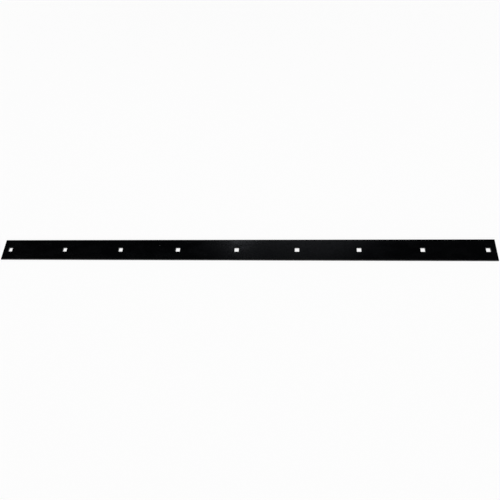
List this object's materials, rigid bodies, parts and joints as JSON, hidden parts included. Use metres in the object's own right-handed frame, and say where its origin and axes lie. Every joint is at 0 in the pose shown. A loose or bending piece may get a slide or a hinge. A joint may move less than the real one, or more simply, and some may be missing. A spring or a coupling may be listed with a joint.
{
  "type": "plow wear bar",
  "caption": "Long flat steel bar, punched with a row of square holes, that bolts along the lower edge of a plow blade and takes the wear in its place.",
  "frame": {"origin": "middle of the back face, which lies against the blade; the bar's lowest face at rest", "axes": "+X along the bar, +Y across its width, +Z out of its front face"},
  "size_m": [1.6764, 0.0762, 0.0063],
  "materials": {
    "black_paint": "satin"
  },
  "bodies": {
    "root": {"wear_bar": "black_paint"}
  },
  "joints": []
}
